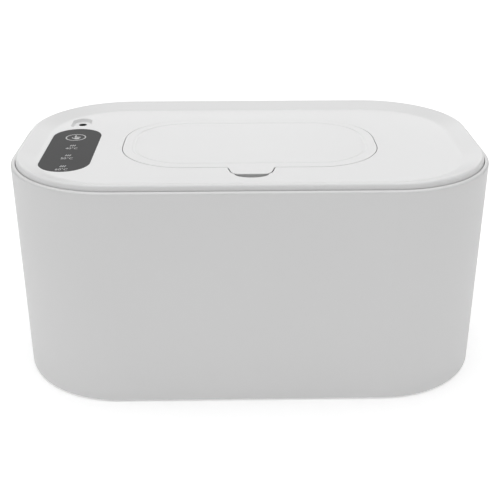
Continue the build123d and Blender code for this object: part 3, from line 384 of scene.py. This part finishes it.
rolled_sheet = Finish("rolled aluminium", Metallic=1.0)
rolling = rolled_sheet.noise(2600.0, 3.0, rolled_sheet.stretched(0.02, 1.0, 1.0))
blotch = rolled_sheet.noise(55.0, 4.0)
dried_mark = rolled_sheet.rise(blotch, 0.56, 0.60) * rolled_sheet.rise(blotch, 0.66, 0.61)
clean_sheet = rolled_sheet.blend(rolling, ROLLED, ROLLED_DULL)
rolled_sheet.wear(Base_Color=rolled_sheet.blend(dried_mark * 0.6, clean_sheet, DRIED),
                  Roughness=0.34 + (rolling - 0.5) * 0.22 + dried_mark * 0.15)
rolled_sheet.bump(rolling, 0.015 * MM).paint("heating_plate")


# ---------------------------------------------------------------- heater film
# The printed heater glued on top of the plate: two layers of amber polyimide with an etched
# track between them that runs to and fro, and a tail that turns up through the tray.

FILM_AMBER = (0.42, 0.16, 0.025, 1)
FILM_TRACK = (0.22, 0.085, 0.030, 1)
TRACK_PITCH = 5.0 * MM

film = Finish("polyimide film", Coat_Weight=0.4)
track = (film.axis("Y").ripple(TRACK_PITCH) > 0.45) * (film.noise(20.0) * 0.3 + 0.7)
film_ripple = film.noise(110.0, 2.0)
film.wear(Base_Color=film.blend(track, FILM_AMBER, FILM_TRACK), Roughness=0.26 + (film_ripple - 0.5) * 0.2)
film.bump(track, 0.03 * MM).paint("heater_film")


# ---------------------------------------------------------------- thermistor
# The glass bead that reads the heater's temperature, dipped in dark epoxy and laid on the film.
# The dip dries in soft runs.

EPOXY_DARK = (0.035, 0.022, 0.016, 1)
EPOXY_THIN = (0.095, 0.050, 0.028, 1)

bead = Finish("dipped bead", Coat_Weight=0.6)
dip_runs = bead.noise(1400.0, 2.0)
bead.wear(Base_Color=bead.blend(dip_runs, EPOXY_DARK, EPOXY_THIN), Roughness=0.22 + (dip_runs - 0.5) * 0.15)
bead.bump(dip_runs, 0.08 * MM).paint("thermistor")


# ---------------------------------------------------------------- thermal fuse
# The safety cut-out, a small drawn aluminium can beside the heater, sealed at one end with grey
# resin.

CAN_BRIGHT = (0.62, 0.63, 0.64, 1)
CAN_WORN = (0.50, 0.50, 0.51, 1)
RESIN_GREY = (0.25, 0.25, 0.26, 1)
RESIN_DEPTH = 1.2 * MM

fuse_can = Finish("fuse can")
resin = fuse_can.axis("Y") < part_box("thermal_fuse")[0].y + RESIN_DEPTH
can_lines = fuse_can.noise(3000.0, 2.0, fuse_can.stretched(1.0, 0.05, 1.0))
fuse_can.wear(Base_Color=fuse_can.blend(resin, fuse_can.blend(can_lines, CAN_BRIGHT, CAN_WORN), RESIN_GREY),
              Metallic=1 - resin, Roughness=0.28 + (can_lines - 0.5) * 0.15 + resin * 0.3)
fuse_can.bump(can_lines, 0.01 * MM).paint("thermal_fuse")


# ---------------------------------------------------------------- lid tray
# The lid's lower half, a white polypropylene pan that carries the heater below and the circuit
# board inside. Its underside meets steam, which leaves it a little duller in patches.

tray_plastic = moulded("tray plastic", INNER_WHITE, INNER_SHADE, 0.02 * MM)
steam = tray_plastic.rise(tray_plastic.noise(35.0, 3.0), 0.45, 0.65)
tray_plastic.wear(Roughness=0.40 + tray_plastic.satin + steam * 0.10).paint("lid_tray")


# ---------------------------------------------------------------- seals
# The soft silicone parts: the gasket between lid and liner, the outlet that holds the next wipe
# up by its lips, and the ring that the hatch closes on. All are moulded in one light grey.

SILICONE = (0.46, 0.46, 0.465, 1)
SILICONE_DUSTED = (0.54, 0.54, 0.54, 1)

soft_silicone = Finish("soft silicone", Sheen_Weight=0.1, Subsurface_Weight=0.08)
dusting = soft_silicone.noise(180.0, 4.0)
soft_grain = soft_silicone.noise(2200.0, 2.0)
soft_silicone.wear(Base_Color=soft_silicone.blend(dusting, SILICONE, SILICONE_DUSTED),
                   Roughness=0.56 + (dusting - 0.5) * 0.15)
soft_silicone.bump(soft_grain, 0.03 * MM).paint("lid_gasket", "wipe_outlet", "hatch_seal")


# ---------------------------------------------------------------- outlet frame
# The well under the hatch, moulded in white ABS with the neck that the wipes come up through and
# the pockets for the hatch's hinge arms. Its walls are polished so that they wipe clean.

# It takes the shell's white, which is painted a shade darker as shade on the walls.
frame_plastic = moulded("outlet frame plastic", SHELL_WHITE_PAINTED_SHADE, SHELL_DRIFT_PAINTED_SHADE, 0.015 * MM)
smear = frame_plastic.noise(60.0, 3.0, frame_plastic.stretched(1.0, 1.0, 0.3))
frame_plastic.wear(Roughness=0.34 + frame_plastic.satin + (smear - 0.5) * 0.14).paint("outlet_frame")


# ---------------------------------------------------------------- hinge pins and plain screws
# Two cut lengths of plated rod that the hatch turns on, and the plated screws that hold the lid
# together and the board down.

plain_zinc = plated("plated steel")
plain_zinc.bump(plain_zinc.pitting, 0.01 * MM).paint("hinge_pins", "lid_screws", "board_screws")


# ---------------------------------------------------------------- circuit board
# A glass-fibre board under green solder mask, screwed to the tray. Copper tracks under the mask
# show as slightly raised, paler lines on a square grid.

MASK_GREEN = (0.012, 0.110, 0.040, 1)
MASK_OVER_COPPER = (0.030, 0.190, 0.070, 1)
TRACK_GRID = 420.0

board_mask = Finish("solder mask", Coat_Weight=0.3)
wandering = board_mask.node("ShaderNodeTexVoronoi", {"distance": "CHEBYCHEV", "feature": "F1"},
                            {"Vector": board_mask.place, "Scale": TRACK_GRID, "Randomness": 0.35}, "Distance")
copper = board_mask.rise(abs(wandering - 0.42), 0.05, 0.03)
board_mask.wear(Base_Color=board_mask.blend(copper, MASK_GREEN, MASK_OVER_COPPER),
                Roughness=0.30 + (board_mask.noise(1500.0) - 0.5) * 0.15)
board_mask.bump(copper, 0.03 * MM).paint("control_board")


# ---------------------------------------------------------------- controller chip
# The chip that runs the heater, moulded in black epoxy and soldered to the board. Its first leg
# is marked by a small round dimple in the top.

CHIP_BLACK = (0.020, 0.020, 0.021, 1)
CHIP_DUSTED = (0.034, 0.034, 0.035, 1)
DIMPLE_INSET = 1.1 * MM
DIMPLE_RADIUS = 0.35 * MM

chip_resin = moulded("chip resin", CHIP_BLACK, CHIP_DUSTED, 0.02 * MM)
chip_low, chip_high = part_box("controller_chip")
from_dimple_x = chip_resin.axis("X") - (chip_low.x + DIMPLE_INSET)
from_dimple_y = chip_resin.axis("Y") - (chip_high.y - DIMPLE_INSET)
dimple = (from_dimple_x * from_dimple_x + from_dimple_y * from_dimple_y) ** 0.5 < DIMPLE_RADIUS
chip_resin.wear(Roughness=0.55 + chip_resin.satin - dimple * 0.3).paint("controller_chip")


# ---------------------------------------------------------------- capacitor
# The supply's reservoir capacitor: a drawn can in a dark sleeve that stops short of its bare
# top, with the pale stripe down the side of its negative leg.

SLEEVE_DARK = (0.030, 0.034, 0.060, 1)
SLEEVE_STRIPE = (0.42, 0.43, 0.46, 1)
SLEEVE_TOP_GAP = 0.9 * MM
STRIPE_WIDTH = 1.8 * MM

can_sleeve = Finish("capacitor sleeve")
can_low, can_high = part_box("capacitor")
bare = can_sleeve.axis("Z") > can_high.z - SLEEVE_TOP_GAP
stripe = ((can_sleeve.axis("X") > (can_low.x + can_high.x) / 2)
          * (abs(can_sleeve.axis("Y") - (can_low.y + can_high.y) / 2) < STRIPE_WIDTH / 2))
sleeve_wrinkle = can_sleeve.noise(700.0, 2.0)
can_sleeve.wear(
    Base_Color=can_sleeve.blend(bare, can_sleeve.blend(stripe, SLEEVE_DARK, SLEEVE_STRIPE), CAN_BRIGHT),
    Metallic=bare, Roughness=0.32 + (sleeve_wrinkle - 0.5) * 0.16)
can_sleeve.bump(sleeve_wrinkle, 0.05 * MM).paint("capacitor")


# ---------------------------------------------------------------- heater connector
# The nylon socket that the heater film's tail plugs into, natural in colour, with a row of
# contact slots whose openings are drawn as darker bars of painted shade.

NYLON = (0.60, 0.58, 0.52, 1)
NYLON_SHADE = (0.56, 0.54, 0.48, 1)
CONTACT_SLOT_PAINTED_SHADE = (0.20, 0.19, 0.17, 1)
CONTACT_PITCH = 2.0 * MM

nylon = moulded("natural nylon", NYLON, NYLON_SHADE, 0.02 * MM)
# The darker bars are painted shade for the slot openings.
painted_slot_shade = nylon.axis("Y").ripple(CONTACT_PITCH) > 0.80
nylon.wear(Base_Color=nylon.blend(painted_slot_shade, nylon.colour, CONTACT_SLOT_PAINTED_SHADE), Roughness=0.50 + nylon.satin)
nylon.paint("heater_connector")


# ---------------------------------------------------------------- indicators
# Three small lamps on the board, each a phosphor-filled lens, and the clear acrylic guide that
# brings their light up to the panel. The guide's moulded faces are lightly frosted.

LENS_YELLOW = (0.62, 0.50, 0.16, 1)
LENS_PALE = (0.74, 0.66, 0.36, 1)
ACRYLIC = (0.86, 0.89, 0.91, 1)
ACRYLIC_SHADE = (0.80, 0.84, 0.87, 1)

lens = Finish("lamp lens", Coat_Weight=0.5)
phosphor = lens.noise(4000.0, 3.0)
lens.wear(Base_Color=lens.blend(phosphor, LENS_YELLOW, LENS_PALE), Roughness=0.25 + (phosphor - 0.5) * 0.2)
lens.bump(phosphor, 0.01 * MM).paint("indicator_leds")

acrylic = Finish("clear acrylic", Transmission_Weight=0.9, IOR=1.49)
frosting = acrylic.noise(2500.0, 3.0)
acrylic.wear(Base_Color=acrylic.blend(frosting, ACRYLIC, ACRYLIC_SHADE), Roughness=0.14 + frosting * 0.16)
acrylic.bump(frosting, 0.02 * MM).paint("light_guide")


# ---------------------------------------------------------------- touch spring
# The fine spring that joins the touch pad on the board to the underside of the lid, wound from
# the same kind of wire as the lift springs.

drawn_wire("touch spring wire").paint("touch_spring")


# ---------------------------------------------------------------- power inlet
# A black moulded socket on the board under the lid's pocket, with the nickel-plated pin that
# the supply's barrel plug slides over. Plugging in has rubbed the plating towards the brass.

JACK_BLACK = (0.010, 0.010, 0.010, 1)
JACK_DUSTED = (0.016, 0.016, 0.016, 1)
NICKEL = (0.66, 0.64, 0.58, 1)
NICKEL_RUBBED = (0.64, 0.56, 0.38, 1)

jack_plastic = moulded("jack plastic", JACK_BLACK, JACK_DUSTED, 0.02 * MM)
jack_plastic.wear(Roughness=0.42 + jack_plastic.satin).paint("power_jack")

nickel = Finish("nickel plating", Metallic=1.0)
plug_marks = nickel.noise(2500.0, 2.0, nickel.stretched(1.0, 1.0, 0.1))
nickel.wear(Base_Color=nickel.blend(plug_marks, NICKEL, NICKEL_RUBBED), Roughness=0.22 + plug_marks * 0.18)
nickel.bump(plug_marks, 0.01 * MM).paint("power_jack_pin")


# ---------------------------------------------------------------- lid and hatch
# The lid's outer moulding and the flip-up hatch let into it, both in white ABS from a finer mould
# than the shell's, so that they read a little glossier than the walls. Their white is set a shade
# lighter than the shell's, as painted light on the lid's sides.

LID_WHITE_PAINTED_LIGHT = (0.790, 0.790, 0.790, 1)
LID_DRIFT_PAINTED_LIGHT = (0.777, 0.777, 0.777, 1)

lid_plastic = moulded("lid plastic", LID_WHITE_PAINTED_LIGHT, LID_DRIFT_PAINTED_LIGHT, 0.02 * MM)
touched = lid_plastic.noise(28.0, 3.0)
lid_plastic.wear(Roughness=0.36 + lid_plastic.satin - (touched - 0.5) * 0.10)
lid_plastic.paint("lid_shell", "hatch_cover")


# ---------------------------------------------------------------- hatch lining
# The flat cover inside the hatch that carries its seal, moulded in the same polypropylene as the
# tray and welded to the rib on the hatch's underside.

lining_plastic = moulded("hatch lining plastic", INNER_WHITE, INNER_SHADE, 0.02 * MM)
lining_sweat = lining_plastic.rise(lining_plastic.noise(48.0, 3.0), 0.48, 0.66)
lining_plastic.wear(Roughness=0.42 + lining_plastic.satin + lining_sweat * 0.10).paint("hatch_inner_cover")


# ---------------------------------------------------------------- control panel
# A dark sheet of smoked acrylic let in flush with the lid over the lamps and the touch pad. Its
# face has a matt coat with a very fine haze, which keeps reflections faint and holds wiping marks.

SMOKED = (0.072, 0.072, 0.073, 1)
SMOKED_HAZE = (0.080, 0.080, 0.081, 1)

smoked_sheet = Finish("smoked sheet", Specular_IOR_Level=0.06)
wiping = smoked_sheet.noise(70.0, 3.0, smoked_sheet.stretched(1.0, 0.35, 1.0))
haze = smoked_sheet.noise(3000.0, 2.0)
smoked_sheet.wear(Base_Color=smoked_sheet.blend(wiping, SMOKED, SMOKED_HAZE),
                  Roughness=0.50 + (wiping - 0.5) * 0.12 + (haze - 0.5) * 0.06)
smoked_sheet.bump(haze, 0.01 * MM).paint("control_panel")


# ---------------------------------------------------------------- panel print
# Light grey ink, laid on the panel by screen printing: a ring round a pointing hand over the
# touch key, and for each lamp a small sign for heat above its temperature.

INK = (0.60, 0.60, 0.60, 1)
INK_THIN = (0.50, 0.50, 0.50, 1)
INK_THICKNESS = 0.03 * MM
PANEL_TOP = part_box("control_panel")[1].z
KEY_MIDDLE = Vector((-94.7 * MM, 10.0 * MM, 0))
KEY_RING_RADIUS = 5.5 * MM
KEY_RING_LINE = 0.6 * MM
KEY_RING_SIDES = 72
# the hand's bars in mm from the key's middle, as x, y, width, length and turn in degrees: a
# pointing finger, three folded ones beside it, the thumb and the palm
HAND_BARS = [(-0.35, 1.6, 0.8, 3.9, 0), (0.6, 0.5, 0.6, 1.7, 0), (1.4, 0.3, 0.6, 1.7, 0),
             (2.2, 0.1, 0.6, 1.7, 0), (-1.45, -1.1, 0.65, 2.2, 35), (0.75, -2.0, 2.4, 3.0, 90)]
ROW_MIDDLE_X = -94.1 * MM
HEAT_SIGN_Y = {"40°C": -4.0 * MM, "50°C": -19.8 * MM, "60°C": -36.2 * MM}
FIGURE_DROP = 4.6 * MM
FIGURE_HEIGHT = 2.6 * MM
FIGURE_NARROWING = 0.82
CAPITAL_SHARE = 0.7
BAR_ROUNDING = 0.48
SAME_PLACE = 0.002 * MM
WAVE_LENGTH = 2.2 * MM
WAVE_LINE = 0.5 * MM
WAVE_SWAY = 0.25 * MM
WAVE_PITCH = 1.05 * MM


def bar(ink, middle, width, length, turn):
    """A flat round-ended bar of ink."""
    made = bmesh.ops.create_grid(ink, x_segments=1, y_segments=1, size=0.5)["verts"]
    bmesh.ops.scale(ink, vec=(width, length, 1), verts=made)
    rounded = bmesh.ops.bevel(ink, geom=made, offset=width * BAR_ROUNDING, offset_type="OFFSET", segments=5,
                              profile=0.5, affect="VERTICES", material=-1)["verts"]
    place = Matrix.Translation(middle) @ Matrix.Rotation(turn, 4, "Z")
    bmesh.ops.transform(ink, matrix=place, verts=rounded)


def wave(ink, middle):
    """One rising wave of the heat sign."""
    made = bmesh.ops.create_grid(ink, x_segments=1, y_segments=10, size=0.5)["verts"]
    bmesh.ops.scale(ink, vec=(WAVE_LINE, WAVE_LENGTH, 1), verts=made)
    for corner in made:
        corner.co.x += WAVE_SWAY * math.sin(2 * math.pi * corner.co.y / WAVE_LENGTH)
    bmesh.ops.translate(ink, vec=middle, verts=made)


def figures(ink, words, middle):
    """Printed figures, made a mesh before they are placed."""
    type_set = bpy.data.curves.new("figures", "FONT")
    type_set.body = words
    type_set.size = FIGURE_HEIGHT / CAPITAL_SHARE
    type_set.align_x = "CENTER"
    type_set.align_y = "CENTER"
    type_set.resolution_u = 3
    holder = bpy.data.objects.new("figures", type_set)
    flat = bpy.data.meshes.new_from_object(holder)
    before = len(ink.verts)
    ink.from_mesh(flat)
    ink.verts.ensure_lookup_table()
    bmesh.ops.scale(ink, vec=(FIGURE_NARROWING, 1, 1), verts=ink.verts[before:])
    bmesh.ops.translate(ink, vec=middle, verts=ink.verts[before:])
    bpy.data.objects.remove(holder)
    bpy.data.curves.remove(type_set)
    bpy.data.meshes.remove(flat)


ink = bmesh.new()
rim = bmesh.ops.create_circle(ink, cap_ends=True, segments=KEY_RING_SIDES,
                              radius=KEY_RING_RADIUS)["verts"]
disc = rim[0].link_faces[0]
bmesh.ops.inset_region(ink, faces=[disc], thickness=KEY_RING_LINE, use_boundary=True, use_even_offset=True)
bmesh.ops.delete(ink, geom=[disc], context="FACES")
bmesh.ops.translate(ink, vec=KEY_MIDDLE, verts=ink.verts[:])

for x, y, width, length, turn in HAND_BARS:
    bar(ink, KEY_MIDDLE + Vector((x, y, 0)) * MM, width * MM, length * MM, math.radians(turn))

for words, sign_y in HEAT_SIGN_Y.items():
    for step in (-1, 0, 1):
        wave(ink, Vector((ROW_MIDDLE_X + step * WAVE_PITCH, sign_y, 0)))
    figures(ink, words, Vector((ROW_MIDDLE_X, sign_y - FIGURE_DROP, 0)))

bmesh.ops.remove_doubles(ink, verts=ink.verts, dist=SAME_PLACE)
bmesh.ops.recalc_face_normals(ink, faces=ink.faces)
for face in ink.faces:
    if face.normal.z < 0:
        face.normal_flip()
bmesh.ops.translate(ink, vec=(0, 0, PANEL_TOP + INK_THICKNESS), verts=ink.verts)
bmesh.ops.solidify(ink, geom=ink.faces[:], thickness=INK_THICKNESS)
panel_print = bpy.data.objects.new("panel_print", bpy.data.meshes.new("panel_print"))
ink.to_mesh(panel_print.data)
ink.free()
bpy.context.scene.collection.objects.link(panel_print)

printing_ink = Finish("printing ink")
mesh_marks = printing_ink.noise(5000.0, 2.0)
printing_ink.wear(Base_Color=printing_ink.blend(mesh_marks, INK, INK_THIN),
                  Roughness=0.45 + (mesh_marks - 0.5) * 0.15)
printing_ink.bump(mesh_marks, 0.01 * MM)
panel_print.data.materials.append(printing_ink.material)
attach(panel_print, "lid")


# ---------------------------------------------------------------- floor and light
# A pale floor that glows a little, as a studio's light table does, in a dim room with a plain
# white backdrop, under softboxes that are brightest overhead and low behind.

FLOOR_REACH = 2.0
FLOOR_GLOW = 0.268
ROOM_LIGHT = 0.15
BACKDROP_LIGHT = 1.0
PAPER = (0.94, 0.94, 0.94, 1)
PAPER_SHADE = (0.93, 0.93, 0.93, 1)
WARMER_MIDDLE = (0, 0, 0.05)
# each softbox's place, what it faces, its width and height in metres, and its watts
SOFTBOXES = {
    "overhead softbox": ((0, 0, 3.0), (0, 0, 0), (4.0, 4.0), 99.0),
    "low back softbox": ((0, 2.6, 0.95), WARMER_MIDDLE, (3.6, 0.8), 12.0),
    "left softbox": ((-2.2, -0.1, 0.8), WARMER_MIDDLE, (2.0, 1.4), 4.3),
    "right softbox": ((2.2, -0.1, 0.8), WARMER_MIDDLE, (2.0, 1.4), 1.6),
    "front softbox": ((0, -2.4, 0.9), WARMER_MIDDLE, (2.4, 1.2), 4.7),
}

floor_mesh = bmesh.new()
bmesh.ops.create_grid(floor_mesh, x_segments=1, y_segments=1, size=FLOOR_REACH)
floor = bpy.data.objects.new("floor", bpy.data.meshes.new("floor"))
floor_mesh.to_mesh(floor.data)
floor_mesh.free()
bpy.context.scene.collection.objects.link(floor)
floor_paper = Finish("floor paper", Roughness=0.9, Emission_Color=(1, 1, 1, 1), Emission_Strength=FLOOR_GLOW)
floor_paper.wear(Base_Color=floor_paper.blend(floor_paper.noise(40.0), PAPER, PAPER_SHADE))
floor.data.materials.append(floor_paper.material)

world = bpy.data.worlds.new("studio")
world.use_nodes = True
studio = world.node_tree
room = studio.nodes["Background"]
backdrop = studio.nodes.new("ShaderNodeBackground")
for part, strength in ((room, ROOM_LIGHT), (backdrop, BACKDROP_LIGHT)):
    part.inputs["Color"].default_value = (1, 1, 1, 1)
    part.inputs["Strength"].default_value = strength
seen = studio.nodes.new("ShaderNodeMixShader")
studio.links.new(studio.nodes.new("ShaderNodeLightPath").outputs["Is Camera Ray"], seen.inputs["Fac"])
studio.links.new(room.outputs["Background"], seen.inputs[1])
studio.links.new(backdrop.outputs["Background"], seen.inputs[2])
studio.links.new(seen.outputs["Shader"], studio.nodes["World Output"].inputs["Surface"])
bpy.context.scene.world = world

for name, (place, aim, size, watts) in SOFTBOXES.items():
    lamp = bpy.data.lights.new(name, "AREA")
    lamp.shape = "RECTANGLE"
    lamp.size, lamp.size_y = size
    lamp.energy = watts
    light = bpy.data.objects.new(name, lamp)
    light.location = place
    light.rotation_euler = (Vector(aim) - Vector(place)).to_track_quat("-Z", "Y").to_euler()
    bpy.context.scene.collection.objects.link(light)
